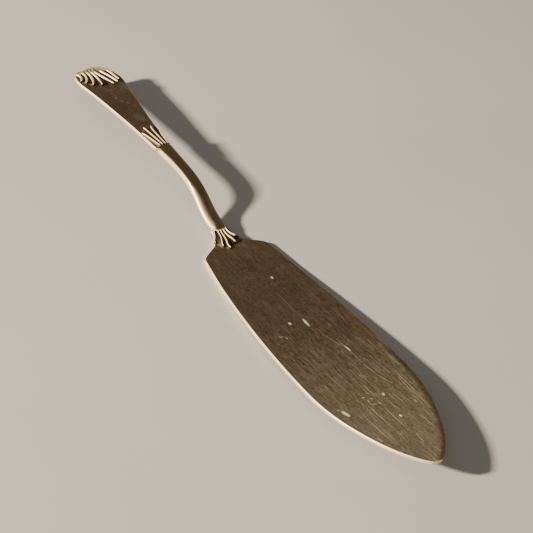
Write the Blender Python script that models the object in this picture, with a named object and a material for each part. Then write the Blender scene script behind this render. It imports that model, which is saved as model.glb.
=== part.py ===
"""Flat cake server in silver: blade, stem, grip and three applied castings.

The server lies as it rests on a table. +X runs from the grip's end to the
blade's tip, and Z = 0 is the table. It is symmetric about Y = 0, apart from
the slight twist of the grip's end. Lengths below are in millimetres; S means
distance along the server.
"""

import math

import bpy
import numpy as np

MM = 0.001

# overall
S_END = -3.5
S_TIP = 220.0
JOINT_GAP = 0.15

# blade
BLADE_THICK = 1.3
ROOT_OUTLINE = ((87.0, 2.8), (90.0, 3.7), (92.4, 4.9), (93.6, 5.8), (95.0, 7.7),
                (96.5, 10.0), (97.8, 11.8), (98.8, 12.6), (100.0, 12.95))
BELLY_S = 173.0
BELLY_HALF = 19.4
TIP_POWER = 1.94
TIP_NARROWING = 0.724
TIP_NOSE_R = 9.0
TIP_OVERSHOOT = 0.9
HEEL_FLAT_S = 112.0
TIP_RISE = 6.4
RISE_POWER = 1.2
EDGE_ROUND = 0.28

# handle: height of its middle above the table, and half widths, by distance
SPINE = ((-3.5, 6.8), (12.0, 7.85), (28.0, 8.35), (45.0, 8.9), (58.0, 9.35),
         (66.0, 9.05), (72.0, 7.6), (77.0, 5.2), (82.0, 3.05), (88.5, 2.65))
TWIST = ((-3.5, 8.5), (12.0, 7.0), (30.0, 2.0), (48.0, 0.0), (60.0, 0.0))
GRIP_HALF = ((-0.6, 8.3), (0.6, 8.75), (3.0, 9.15), (8.0, 8.5), (20.0, 6.2),
             (35.0, 4.0), (47.6, 3.05))
GRIP_THICK = 1.8
GRIP_START_S = -0.6
GRIP_STOP_S = 47.6

# stem: oval bar with a flat tongue under the grip and a flat foot on the blade
STEM_START_S = 48.0
STEM_STOP_S = 88.3
STEM_HALF = ((48.0, 2.95), (60.0, 2.45), (72.0, 2.6), (82.0, 2.8), (88.5, 2.7))
STEM_RISE = ((48.0, 1.8), (60.0, 1.75), (72.0, 1.7), (82.0, 1.5), (88.5, 1.15))
TONGUE_S = 39.0
TONGUE_THICK = 0.6
TONGUE_HALF = 1.8
FOOT_S = 93.0
FOOT_HALF = 2.5
FOOT_THICK = 0.6

# shell on the grip's end
SHELL_RIBS = 7
SHELL_RIM_HALF = 8.4
SHELL_RIM_BOW = 2.3
SHELL_REACH = 7.9
SHELL_REACH_BOW = 4.9

# fan on the grip, where the stem comes in
GRIP_FAN_RIBS = 4
GRIP_FAN_APEX = 58.2
GRIP_FAN_R = (10.5, 22.2)
GRIP_FAN_ANGLE = math.radians(10.3)

# fan over the blade's root
BLADE_FAN_RIBS = 5
BLADE_FAN_APEX = 79.7
BLADE_FAN_R = (9.1, 17.4)
BLADE_FAN_ANGLE = math.radians(20.6)

RING_STEPS = 28


def clear_scene():
    for old in list(bpy.data.objects):
        bpy.data.objects.remove(old, do_unlink=True)


def metal(name, colour, roughness):
    found = bpy.data.materials.new(name)
    found.use_nodes = True
    shader = found.node_tree.nodes["Principled BSDF"]
    shader.inputs["Base Color"].default_value = (*colour, 1.0)
    shader.inputs["Metallic"].default_value = 1.0
    shader.inputs["Roughness"].default_value = roughness
    found.diffuse_color = (*colour, 1.0)
    return found


def natural_spline(table):
    """A smooth curve through (x, y) rows, held level beyond the ends."""
    x = np.array([row[0] for row in table], float)
    y = np.array([row[1] for row in table], float)
    n = len(x)
    h = np.diff(x)
    system = np.eye(n)
    right = np.zeros(n)
    for i in range(1, n - 1):
        system[i, i - 1] = h[i - 1]
        system[i, i] = 2.0 * (h[i - 1] + h[i])
        system[i, i + 1] = h[i]
        right[i] = 6.0 * ((y[i + 1] - y[i]) / h[i] - (y[i] - y[i - 1]) / h[i - 1])
    bend = np.linalg.solve(system, right)

    def value(at):
        at = min(max(at, x[0]), x[-1])
        i = min(max(int(np.searchsorted(x, at)) - 1, 0), n - 2)
        a = (x[i + 1] - at) / h[i]
        b = 1.0 - a
        curve = ((a ** 3 - a) * bend[i] + (b ** 3 - b) * bend[i + 1]) * h[i] ** 2 / 6.0
        return a * y[i] + b * y[i + 1] + curve

    return value


def smooth_step(t):
    t = min(max(t, 0.0), 1.0)
    return t * t * (3.0 - 2.0 * t)


spine = natural_spline(SPINE)
grip_half = natural_spline(GRIP_HALF)
stem_half = natural_spline(STEM_HALF)
stem_rise = natural_spline(STEM_RISE)
twist_degrees = natural_spline(TWIST)
root_outline = natural_spline(ROOT_OUTLINE)


def spine_slope(s):
    return math.atan2(spine(s + 0.4) - spine(s - 0.4), 0.8)


def at(s, y, z):
    """A point in metres, with the origin under the middle of the server."""
    return ((s - 0.5 * (S_END + S_TIP)) * MM, y * MM, z * MM)


def at_handle(s, y, n):
    """A point of the handle: n is its height over the spine, y across, both twisted."""
    turn = math.radians(twist_degrees(s))
    across = y * math.cos(turn) + n * math.sin(turn)
    return at(s, across, spine(s) - y * math.sin(turn) + n * math.cos(turn))


def add_object(name, points, faces, material):
    mesh = bpy.data.meshes.new(name)
    mesh.from_pydata(points, [], faces)
    mesh.validate()
    mesh.materials.append(material)
    mesh.shade_smooth()
    made = bpy.data.objects.new(name, mesh)
    bpy.context.scene.collection.objects.link(made)
    return made


def loft(name, rings, material):
    """A closed body through rings that hold the same number of points."""
    count = len(rings[0])
    points = [p for ring in rings for p in ring]
    faces = []
    for r in range(len(rings) - 1):
        for c in range(count):
            d = (c + 1) % count
            low = r * count
            high = low + count
            faces.append((low + c, low + d, high + d, high + c))
    faces.append(tuple(reversed(range(count))))
    last = (len(rings) - 1) * count
    faces.append(tuple(range(last, last + count)))
    return add_object(name, points, faces, material)


def oval_ring(s, drop, tilt, half, rise, power, count=RING_STEPS):
    """A rounded ring round the spine, square to a line that climbs at the tilt."""
    ring = []
    for i in range(count):
        turn = 2.0 * math.pi * (i + 0.5) / count
        c = math.cos(turn)
        d = math.sin(turn)
        y = half * math.copysign(abs(c) ** (2.0 / power), c)
        n = rise * math.copysign(abs(d) ** (2.0 / power), d)
        ring.append(at_handle(s - n * math.sin(tilt), y, n * math.cos(tilt) - drop))
    return ring


def blade_half(s):
    """Half the blade's width: root, notch, shoulder, belly, rounded tip."""
    first = ROOT_OUTLINE[0][0]
    last, shoulder = ROOT_OUTLINE[-1]
    if s <= last:
        return root_outline(max(s, first))
    if s <= BELLY_S:
        t = (BELLY_S - s) / (BELLY_S - last)
        return BELLY_HALF - (BELLY_HALF - shoulder) * t * t
    t = (s - BELLY_S) / (S_TIP + TIP_OVERSHOOT - BELLY_S)
    ogive = BELLY_HALF * (1.0 - t ** TIP_POWER) ** TIP_NARROWING
    nose = math.sqrt(2.0 * TIP_NOSE_R * (S_TIP + 0.02 - s))
    rounded = (ogive ** -8.0 + nose ** -8.0) ** -0.125
    return ogive + smooth_step((s - BELLY_S - 10.0) / 20.0) * (rounded - ogive)


def blade_middle(s):
    t = max(s - HEEL_FLAT_S, 0.0) / (S_TIP - HEEL_FLAT_S)
    return 0.5 * BLADE_THICK + TIP_RISE * t ** RISE_POWER


def blade_stations():
    first = ROOT_OUTLINE[0][0]
    last = ROOT_OUTLINE[-1][0]
    root = list(np.linspace(first, last, 26))
    side = list(np.linspace(last + 1.0, BELLY_S, 26))
    tip = [BELLY_S + (S_TIP - BELLY_S) * math.sin(0.5 * math.pi * t)
           for t in np.linspace(0.04, 1.0, 27)]
    return root + side + tip


def build_blade(material):
    """Thin sheet, flat at the heel and curving up to the tip, with soft edges."""
    across = 8
    rings = []
    for s in blade_stations():
        half = blade_half(s)
        soft = min(EDGE_ROUND, 0.4 * half)
        middle = blade_middle(s)
        up = 0.5 * BLADE_THICK
        inner = np.linspace(-(half - soft), half - soft, across + 1)
        ring = [at(s, y, middle - up) for y in inner]
        ring.append(at(s, half - 0.3 * soft, middle - up + 0.3 * soft))
        ring.append(at(s, half, middle - up + soft))
        ring.append(at(s, half, middle + up - soft))
        ring.append(at(s, half - 0.3 * soft, middle + up - 0.3 * soft))
        ring += [at(s, y, middle + up) for y in reversed(inner)]
        ring.append(at(s, -half + 0.3 * soft, middle + up - 0.3 * soft))
        ring.append(at(s, -half, middle + up - soft))
        ring.append(at(s, -half, middle - up + soft))
        ring.append(at(s, -half + 0.3 * soft, middle - up + 0.3 * soft))
        rings.append(ring)
    return loft("blade", rings, material)


def build_grip(material):
    """Flat plate that narrows from the shell to the fan."""
    rings = []
    first = GRIP_START_S
    for s in (first, first + 0.1, first + 0.35, first + 0.8, 1.2, 2.2,
              *np.linspace(3.4, GRIP_STOP_S, 24)):
        round_end = min(1.0, 0.9 + 0.1 * math.sqrt(max(s - first, 0.0) / 0.8))
        rings.append(oval_ring(s, 0.0, 0.0, grip_half(s) * round_end,
                               0.5 * GRIP_THICK, 7.0, 32))
    return loft("grip", rings, material)


def build_stem(material):
    """Tongue under the grip, oval bar bending down, flat foot on the blade."""
    rings = []
    tongue_drop = 0.5 * (GRIP_THICK + TONGUE_THICK) + JOINT_GAP
    for s in (TONGUE_S, TONGUE_S + 0.5, 43.0, STEM_START_S - 0.3):
        narrow = 0.8 if s == TONGUE_S else 1.0
        rings.append(oval_ring(s, tongue_drop, 0.0, TONGUE_HALF * narrow,
                               0.5 * TONGUE_THICK, 5.0))
    for s in (STEM_START_S - 0.05, STEM_START_S + 0.3,
              *np.linspace(49.5, STEM_STOP_S - 0.5, 27), STEM_STOP_S):
        full = 0.9 if s in (STEM_START_S - 0.05, STEM_STOP_S) else 1.0
        rings.append(oval_ring(s, 0.0, spine_slope(s), stem_half(s) * full,
                               stem_rise(s) * full, 2.6))
    for s in (STEM_STOP_S + 0.25, 90.0, FOOT_S - 0.3, FOOT_S):
        narrow = 0.85 if s == FOOT_S else 1.0
        drop = spine(s) - BLADE_THICK - JOINT_GAP - 0.5 * FOOT_THICK
        rings.append(oval_ring(s, drop, 0.0, FOOT_HALF * narrow,
                               0.5 * FOOT_THICK, 5.0))
    return loft("stem", rings, material)


def patch(name, columns, rows, where, top, bottom, place, material):
    """A closed casting over a grid: where(u, v) is the plan, top and bottom heights."""
    points = []
    for j in range(rows + 1):
        for i in range(columns + 1):
            s, y = where(i / columns * 2.0 - 1.0, j / rows)
            points.append(place(s, y, top(i / columns * 2.0 - 1.0, j / rows, s, y)))
    half = len(points)
    for j in range(rows + 1):
        for i in range(columns + 1):
            s, y = where(i / columns * 2.0 - 1.0, j / rows)
            points.append(place(s, y, bottom(i / columns * 2.0 - 1.0, j / rows, s, y)))
    wide = columns + 1
    faces = []
    for j in range(rows):
        for i in range(columns):
            a = j * wide + i
            faces.append((a, a + 1, a + wide + 1, a + wide))
            b = half + a
            faces.append((b, b + wide, b + wide + 1, b + 1))
    for i in range(columns):
        a = i
        faces.append((a + 1, a, half + a, half + a + 1))
        a = rows * wide + i
        faces.append((a, a + 1, half + a + 1, half + a))
    for j in range(rows):
        a = j * wide
        faces.append((a, a + wide, half + a + wide, half + a))
        a = j * wide + columns
        faces.append((a + wide, a, half + a, half + a + wide))
    made = add_object(name, points, faces, material)
    face = made.data.polygons[0]
    if face.normal.z < 0.0:
        made.data.flip_normals()
    return made


def rib_wave(u, ribs, edge):
    """1 on the crest of a rib, 0 in the hollow between two; ribs spread to the edge."""
    phase = (u / edge + 1.0) * 0.5 * (ribs - 1)
    off = abs(phase - round(phase))
    if phase < 0.0 or phase > ribs - 1:
        off = min(off, 0.5)
    return max(0.0, 1.0 - off / 0.5) ** 2.2


def build_shell(material):
    """Rolled rim on the grip's end, with ribs that fan out towards the stem."""
    edge = 0.9
    grip_top = 0.5 * GRIP_THICK

    def where(u, v):
        rim = (SHELL_RIM_HALF - 1.2) * u + 1.2 * u ** 7
        inner = 8.3 * math.sin(1.5 * u) / math.sin(1.5)
        y = rim + (inner - rim) * v ** 1.2
        front = S_END + SHELL_RIM_BOW * (rim / SHELL_RIM_HALF) ** 2
        back = SHELL_REACH - SHELL_REACH_BOW * (inner / 8.0) ** 2
        back += 0.5 * rib_wave(u, SHELL_RIBS, edge)
        return front + (back - front) * v, y

    def top(u, v, s, y):
        crest = 2.25 - 0.5 * smooth_step((v - 0.1) / 0.9) - 0.55 * u * u * (1.0 - v)
        hollow = grip_top + 0.38 + 0.95 * math.exp(-(((v - 0.05) / 0.08) ** 2))
        hollow = min(hollow, crest)
        height = hollow + (crest - hollow) * rib_wave(u, SHELL_RIBS, edge)
        if v == 0.0:
            return 0.3
        return height

    def bottom(u, v, s, y):
        if s < GRIP_START_S - 0.4:
            return 0.1 - grip_top
        return grip_top + JOINT_GAP

    return patch("terminal_shell", 60, 26, where, top, bottom, at_handle, material)


def build_grip_fan(material):
    """Ribs that gather where the bar comes out from under the grip."""
    edge = 0.86
    grip_top = 0.5 * GRIP_THICK

    def where(u, v):
        angle = u * GRIP_FAN_ANGLE
        ends = GRIP_FAN_R[1] - 3.0 * u * u + 0.6 * rib_wave(u, GRIP_FAN_RIBS, edge)
        r = GRIP_FAN_R[0] + (ends - GRIP_FAN_R[0]) * v
        return GRIP_FAN_APEX - r * math.cos(angle), -r * math.sin(angle)

    def top(u, v, s, y):
        dome = 0.35 * (1.0 - u * u) * (1.0 - v)
        ribs = 0.65 * rib_wave(u, GRIP_FAN_RIBS, edge) * (1.0 - 0.3 * v)
        return grip_top + 0.4 + dome + ribs

    def bottom(u, v, s, y):
        return grip_top + JOINT_GAP

    return patch("grip_fan", 36, 14, where, top, bottom, at_handle, material)


def build_blade_fan(material):
    """Ribs that spread from the end of the bar over the blade's root."""
    edge = 0.95
    foot_top = BLADE_THICK + 2.0 * JOINT_GAP + FOOT_THICK

    def where(u, v):
        angle = u * BLADE_FAN_ANGLE
        ends = BLADE_FAN_R[1] - 2.9 * u * u + 0.6 * rib_wave(u, BLADE_FAN_RIBS, edge)
        r = BLADE_FAN_R[0] + (ends - BLADE_FAN_R[0]) * v
        return BLADE_FAN_APEX + r * math.cos(angle), r * math.sin(angle)

    def top(u, v, s, y):
        dome = foot_top + 0.3 + 0.3 * (1.0 - v) * (1.0 - u * u)
        low = BLADE_THICK + 0.55
        side = smooth_step((abs(y) - 2.9) / 1.8)
        front = smooth_step((s - FOOT_S - 0.3) / 3.5)
        height = dome + (low - dome) * max(side, front)
        ribs = 0.62 * rib_wave(u, BLADE_FAN_RIBS, edge) * (1.0 - 0.3 * v)
        return height + ribs

    def bottom(u, v, s, y):
        if abs(y) < 3.1 and s < FOOT_S + 0.8:
            return foot_top
        return BLADE_THICK + JOINT_GAP

    return patch("blade_fan", 54, 18, where, top, bottom, at, material)


def main():
    clear_scene()
    rolled = (0.44, 0.38, 0.28)
    forged = (0.46, 0.39, 0.28)
    cast = (0.58, 0.50, 0.37)
    build_blade(metal("blade_silver", rolled, 0.38))
    build_stem(metal("stem_silver", forged, 0.34))
    build_grip(metal("grip_silver", forged, 0.34))
    build_shell(metal("shell_silver", cast, 0.3))
    build_grip_fan(metal("grip_fan_silver", cast, 0.3))
    build_blade_fan(metal("blade_fan_silver", cast, 0.3))


main()
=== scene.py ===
"""Flat cake server in tarnished silver: six pieces, their cast ribs, and a plain studio.

The server lies as the frame has it, +X from the grip's end to the blade's tip.
Tables and outlines are in millimetres, and S is the distance along the server.
"""

import math

import bmesh
import bpy
import numpy as np
from mathutils import Matrix, Vector


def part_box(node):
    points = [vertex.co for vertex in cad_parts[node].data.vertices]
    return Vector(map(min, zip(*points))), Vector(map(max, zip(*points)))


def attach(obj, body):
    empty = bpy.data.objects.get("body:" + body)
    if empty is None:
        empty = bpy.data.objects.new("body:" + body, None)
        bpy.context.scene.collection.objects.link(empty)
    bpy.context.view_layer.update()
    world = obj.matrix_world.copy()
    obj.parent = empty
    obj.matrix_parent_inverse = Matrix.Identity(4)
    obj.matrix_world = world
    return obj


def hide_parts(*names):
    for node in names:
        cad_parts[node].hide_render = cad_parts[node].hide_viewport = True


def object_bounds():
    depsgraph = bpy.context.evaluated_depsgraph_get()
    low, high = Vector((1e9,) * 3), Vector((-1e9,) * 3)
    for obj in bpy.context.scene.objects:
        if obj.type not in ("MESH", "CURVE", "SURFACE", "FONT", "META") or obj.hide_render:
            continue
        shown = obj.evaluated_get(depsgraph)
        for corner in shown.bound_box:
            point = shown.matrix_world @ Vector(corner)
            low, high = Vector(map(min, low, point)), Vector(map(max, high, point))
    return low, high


bl_info = {
    "name": "Flat Cake Server",
    "version": (1, 0, 0),
    "blender": (4, 5, 0),
    "location": "View3D > Sidebar > Cake Server",
    "description": "Builds a tarnished silver cake server and its studio",
    "category": "Object",
}

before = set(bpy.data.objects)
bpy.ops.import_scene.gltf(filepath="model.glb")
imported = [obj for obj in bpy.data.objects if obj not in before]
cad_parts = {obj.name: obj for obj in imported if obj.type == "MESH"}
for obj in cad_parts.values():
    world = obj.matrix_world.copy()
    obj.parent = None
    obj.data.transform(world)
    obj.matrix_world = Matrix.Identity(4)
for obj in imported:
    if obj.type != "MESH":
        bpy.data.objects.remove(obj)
CAD_BOX = [list(corner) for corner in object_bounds()]
BLADE_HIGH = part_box("blade")[1]

MM = 0.001
S_TIP = 220.0
S_MIDDLE = S_TIP - BLADE_HIGH.x / MM
S_END = S_MIDDLE + CAD_BOX[0][0] / MM
JOINT_GAP = 0.15

# blade outline
ROOT_OUTLINE = ((87.0, 2.8), (90.0, 3.7), (92.4, 4.9), (93.6, 5.8), (95.0, 7.7),
                (96.5, 10.0), (97.8, 11.8), (98.8, 12.6), (100.0, 12.95))
BELLY_S = 173.0
TIP_POWER = 1.94
TIP_NARROWING = 0.724
TIP_NOSE_R = 9.0
TIP_OVERSHOOT = 0.9
HEEL_FLAT_S = 112.0
RISE_POWER = 1.2

# handle: height of its middle over the table, and half widths
SPINE = ((-3.5, 6.8), (12.0, 7.85), (28.0, 8.35), (45.0, 8.9), (58.0, 9.35),
         (66.0, 9.05), (72.0, 7.6), (77.0, 5.2), (82.0, 3.05), (88.5, 2.65))
TWIST = ((-3.5, 8.5), (12.0, 7.0), (30.0, 2.0), (48.0, 0.0), (60.0, 0.0))
GRIP_HALF = ((-0.6, 8.3), (0.6, 8.75), (3.0, 9.15), (8.0, 8.5), (20.0, 6.2),
             (35.0, 4.0), (47.6, 3.05))
GRIP_START_S = -0.6
GRIP_STOP_S = 47.6
GRIP_END_ROUND = 0.45
STEM_START_S = 47.9
STEM_STOP_S = 88.6
STEM_START_BOW = 1.2
STEM_STOP_BOW = 1.7
STEM_HALF = ((48.0, 2.95), (60.0, 2.45), (72.0, 2.6), (82.0, 2.8), (88.5, 2.7))
STEM_RISE = ((48.0, 1.8), (60.0, 1.75), (72.0, 1.7), (82.0, 1.5), (88.5, 1.15))
TONGUE = (39.0, 1.8, 0.6)  # where it starts, half width, thickness
FOOT = (93.0, 2.5, 0.6)  # where it stops, half width, thickness
BAR_SQUARENESS = 2.5
LAP_SQUARENESS = 5.0

# castings
GROUND = 0.2  # thickness of a casting between its ribs
RIB_POINTS = 40  # along each rib
SEAM_HEIGHT = 0.02  # of the middle of the solder over what it stands on

# shell casting
SHELL_RIM_HALF = 8.4
SHELL_RIM_BOW = 2.3
SHELL_SCALLOP = 0.9
SHELL_MARGIN = 0.42  # from the last rib to the border, in ribs

# shell ribs, from the rim inwards: each row is k, then (S, y) at four places along a rib
SHELL_LINES = ((-3.42, -0.6, -8.5, 0.9, -8.2, 2.5, -8.4, 4.3, -9.0),
               (-3.0, -0.5, -8.0, 0.6, -7.45, 2.1, -7.45, 4.0, -8.75),
               (-2.0, -0.9, -5.5, 0.6, -5.2, 2.6, -5.6, 5.4, -7.3),
               (-1.0, -0.6, -3.6, 1.5, -3.45, 3.9, -3.8, 7.1, -5.35),
               (0.0, -0.6, -1.95, 1.7, -1.55, 4.1, -1.45, 7.75, -2.0),
               (1.0, -0.5, -0.6, 1.7, 0.35, 4.0, 1.4, 7.9, 2.8),
               (2.0, -1.2, 2.1, 0.9, 3.1, 3.4, 4.2, 6.8, 5.1),
               (3.0, -1.3, 5.1, 0.1, 5.7, 2.2, 6.1, 5.4, 6.4),
               (3.42, -1.3, 6.4, 0.2, 7.0, 2.2, 7.4, 4.6, 7.5))

# fan on the grip: ribs that spread from one point on the bar
GRIP_FAN_APEX = 58.2
GRIP_FAN_DEGREES = 6.1  # between two ribs
GRIP_FAN_REACH = (10.4, 22.4)  # from the apex to a rib's start, and to the longest one's end
GRIP_FAN_SCALLOP = 1.1

# fan on the blade: each row is k, then (S, y) of a rib's or border's two ends
BLADE_FAN_SCALLOP = 0.85
BLADE_FAN_LINES = ((-2.3, 87.1, -3.2, 92.5, -5.3), (-2.0, 87.5, -3.05, 93.1, -5.1),
                   (-1.0, 88.4, -1.8, 95.7, -3.5), (0.0, 88.9, -0.7, 97.2, -1.4),
                   (1.0, 88.8, 0.5, 95.3, 1.8), (2.0, 88.0, 1.7, 92.9, 3.1),
                   (2.8, 87.2, 2.9, 92.9, 4.8))


# studio
VIEW_DEGREES = (-38.2554, 38.5413, 10.0)  # azimuth, elevation and roll
VIEW_AIM = (113.66, 2.305, 5.0)  # S, y and z that the camera looks at
KEY_TOWARDS = (-0.4956, -2.3029, 1.0)
KEY_DISTANCE = 1.5
KEY_COLOUR = (1.0, 0.88, 0.72)
ROOM_COLOUR = (1.0, 0.95, 0.87, 1.0)
FLOOR_SIDE = 6.0


# ---- shared shapes


def natural_spline(table):
    """A smooth curve through (x, y) rows, held level beyond the ends."""
    x, y = np.array(table, float).T
    n = len(x)
    h = np.diff(x)
    slope = np.diff(y) / h
    system = np.eye(n)
    right = np.zeros(n)
    for i in range(1, n - 1):
        system[i, i - 1:i + 2] = h[i - 1], 2.0 * (h[i - 1] + h[i]), h[i]
        right[i] = 6.0 * (slope[i] - slope[i - 1])
    bend = np.linalg.solve(system, right)

    def value(at):
        at = np.clip(np.asarray(at, float), x[0], x[-1])
        i = np.clip(np.searchsorted(x, at) - 1, 0, n - 2)
        a = (x[i + 1] - at) / h[i]
        b = 1.0 - a
        curve = ((a ** 3 - a) * bend[i] + (b ** 3 - b) * bend[i + 1]) * h[i] ** 2 / 6.0
        return a * y[i] + b * y[i + 1] + curve

    return value


def column_splines(table):
    """A spline for each further column of a table, over its first one."""
    return [natural_spline([(row[0], row[i]) for row in table])
            for i in range(1, len(table[0]))]


spine = natural_spline(SPINE)
twist_degrees = natural_spline(TWIST)
grip_half = natural_spline(GRIP_HALF)
stem_half = natural_spline(STEM_HALF)
stem_rise = natural_spline(STEM_RISE)
root_outline = natural_spline(ROOT_OUTLINE)
blade_fan_ends = column_splines(BLADE_FAN_LINES)
shell_places = column_splines(SHELL_LINES)


def smooth_step(t):
    t = np.clip(t, 0.0, 1.0)
    return t * t * (3.0 - 2.0 * t)


def quarter_round(t):
    """Rises from 0 to 1 as a quarter of a circle does, and stays there."""
    return np.sqrt(1.0 - (1.0 - np.clip(t, 0.0, 1.0)) ** 2)


def at(s, y, z):
    """Points in the row frame, in metres, from millimetres along the server."""
    s, y, z = np.broadcast_arrays(np.asarray(s, float), y, z)
    return np.stack([(s - S_MIDDLE) * MM, y * MM, z * MM], axis=-1)


def at_handle(s, y, n):
    """Points of the handle: n is the height over the spine, y across, both twisted."""
    turn = np.radians(twist_degrees(s))
    across = y * np.cos(turn) + n * np.sin(turn)
    return at(s, across, spine(s) - y * np.sin(turn) + n * np.cos(turn))


def new_object(name, mesh):
    made = bpy.data.objects.new(name, mesh)
    bpy.context.scene.collection.objects.link(made)
    return made


def mesh_object(name, points, faces):
    """A smooth-shaded closed mesh with its faces turned outwards."""
    mesh = bpy.data.meshes.new(name)
    mesh.from_pydata(points.tolist(), [], faces)
    work = bmesh.new()
    work.from_mesh(mesh)
    bmesh.ops.recalc_face_normals(work, faces=work.faces)
    work.to_mesh(mesh)
    work.free()
    mesh.shade_smooth()
    return new_object(name, mesh)


def give_attribute(piece, name, values):
    """One number per point, for the finishes to read."""
    made = piece.data.attributes.new(name, "FLOAT", "POINT")
    made.data.foreach_set("value", np.asarray(values, np.float32).ravel())


def skin(name, rings):
    """A closed skin over rings of points, with a fan of faces at each end."""
    rings = np.asarray(rings)
    count, steps, _ = rings.shape
    points = np.vstack([rings.reshape(-1, 3), rings[0].mean(0), rings[-1].mean(0)])
    faces = []
    for i in range(count - 1):
        for j in range(steps):
            k = (j + 1) % steps
            a = i * steps
            faces.append((a + j, a + k, a + steps + k, a + steps + j))
    last = (count - 1) * steps
    for j in range(steps):
        k = (j + 1) % steps
        faces.append((count * steps, k, j))
        faces.append((count * steps + 1, last + j, last + k))
    return mesh_object(name, points, faces)


def slab(name, upper, lower):
    """A closed sheet between two equal grids of points."""
    rows, columns, _ = upper.shape
    points = np.vstack([upper.reshape(-1, 3), lower.reshape(-1, 3)])
    base = rows * columns

    def index(i, j):
        return i * columns + j

    faces = []
    for i in range(rows - 1):
        for j in range(columns - 1):
            quad = (index(i, j), index(i + 1, j), index(i + 1, j + 1), index(i, j + 1))
            faces.append(quad)
            faces.append(tuple(base + v for v in reversed(quad)))
    border = [index(i, 0) for i in range(rows)]
    border += [index(rows - 1, j) for j in range(1, columns)]
    border += [index(i, columns - 1) for i in range(rows - 2, -1, -1)]
    border += [index(0, j) for j in range(columns - 2, 0, -1)]
    for a, b in zip(border, border[1:] + border[:1]):
        faces.append((a, base + a, base + b, b))
    return mesh_object(name, points, faces)


def oval_ring(s, drop, tilt, half, rise, power, steps, bow=0.0):
    """A rounded ring round the spine, square to a line that climbs at the tilt."""
    turn = 2.0 * np.pi * (np.arange(steps) + 0.5) / steps
    c = np.cos(turn)
    d = np.sin(turn)
    y = half * np.sign(c) * np.abs(c) ** (2.0 / power)
    n = rise * np.sign(d) * np.abs(d) ** (2.0 / power)
    along = s - n * math.sin(tilt) + bow * (y / half) ** 2
    return at_handle(along, y, n * math.cos(tilt) - drop)


def dress(piece, node=None):
    """Rides the piece on the server's body and hides the part of the model that it stands for,
    if any.
    """
    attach(piece, "root")
    if node:
        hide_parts(node)


def add_skin(name, rings, marks, finish, node):
    """Skins the rings, hands each mark's values and its two ends' on, and dresses the piece."""
    piece = skin(name, rings)
    for mark, (values, ends) in marks.items():
        give_attribute(piece, mark, np.append(values.ravel(), ends))
    piece.data.materials.append(finish)
    dress(piece, node)


# ---- node helpers

ORIGIN = (0.0, 0.0, 0.0)
SOCKET_KINDS = {tuple: "Vector", float: "Float", int: "Int"}


class Wiring:
    """A node tree in the making, with short ways to add nodes and link them."""

    def __init__(self, tree):
        self.tree = tree

    def add(self, kind, values=None, **settings):
        node = self.tree.nodes.new(kind)
        for key, value in settings.items():
            setattr(node, key, value)
        for key, value in (values or {}).items():
            self.feed(node.inputs[key], value)
        return node

    def feed(self, socket, value):
        if isinstance(value, bpy.types.NodeSocket):
            self.tree.links.new(value, socket)
        else:
            socket.default_value = value

    def math(self, operation, a, b=0.0, c=0.0, clamp=False):
        values = {0: a, 1: b}
        if operation == "MULTIPLY_ADD":
            values[2] = c
        node = self.add("ShaderNodeMath", values, operation=operation, use_clamp=clamp)
        return node.outputs[0]

    def vector(self, operation, a, b=(0.0, 0.0, 0.0)):
        return self.add("ShaderNodeVectorMath", {0: a, 1: b}, operation=operation)

    def ramp(self, value, low, high, out_low=0.0, out_high=1.0):
        values = {0: value, 1: low, 2: high, 3: out_low, 4: out_high}
        node = self.add("ShaderNodeMapRange", values, interpolation_type="SMOOTHSTEP")
        return node.outputs[0]

    def mix(self, factor, a, b):
        """Mixes two colours."""
        values = {"Factor": factor, 6: a, 7: b}
        return self.add("ShaderNodeMix", values, data_type="RGBA").outputs[2]

    def noise(self, vector, scale, detail=3.0, roughness=0.5, warp=0.0):
        values = {"Vector": vector, "Scale": scale, "Detail": detail,
                  "Roughness": roughness, "Distortion": warp}
        return self.add("ShaderNodeTexNoise", values).outputs["Fac"]

    def blend(self, factor, a, b):
        """Mixes two numbers."""
        return self.add("ShaderNodeMix", {0: factor, 2: a, 3: b}).outputs[0]

    def group(self, tree, values):
        return self.add("ShaderNodeGroup", values, node_tree=tree)


def node_group(name, inputs, outputs, fill, kind="ShaderNodeTree"):
    """A node group, built once: fill wires what stands between its ends.

    An input is given by its default, or by its kind of socket where it has none.
    """
    found = bpy.data.node_groups.get(name)
    if found:
        return found
    tree = bpy.data.node_groups.new(name, kind)
    for label, default in inputs.items():
        socket = SOCKET_KINDS.get(type(default), default)
        made = tree.interface.new_socket(label, in_out="INPUT",
                                         socket_type="NodeSocket" + socket)
        if socket != default:
            made.default_value = default
    for label, socket in outputs.items():
        tree.interface.new_socket(label, in_out="OUTPUT", socket_type="NodeSocket" + socket)
    wiring = Wiring(tree)
    start = wiring.add("NodeGroupInput")
    end = wiring.add("NodeGroupOutput")
    for label, value in fill(wiring, start.outputs).items():
        wiring.feed(end.inputs[label], value)
    return tree


# ---- swept bead nodes


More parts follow.
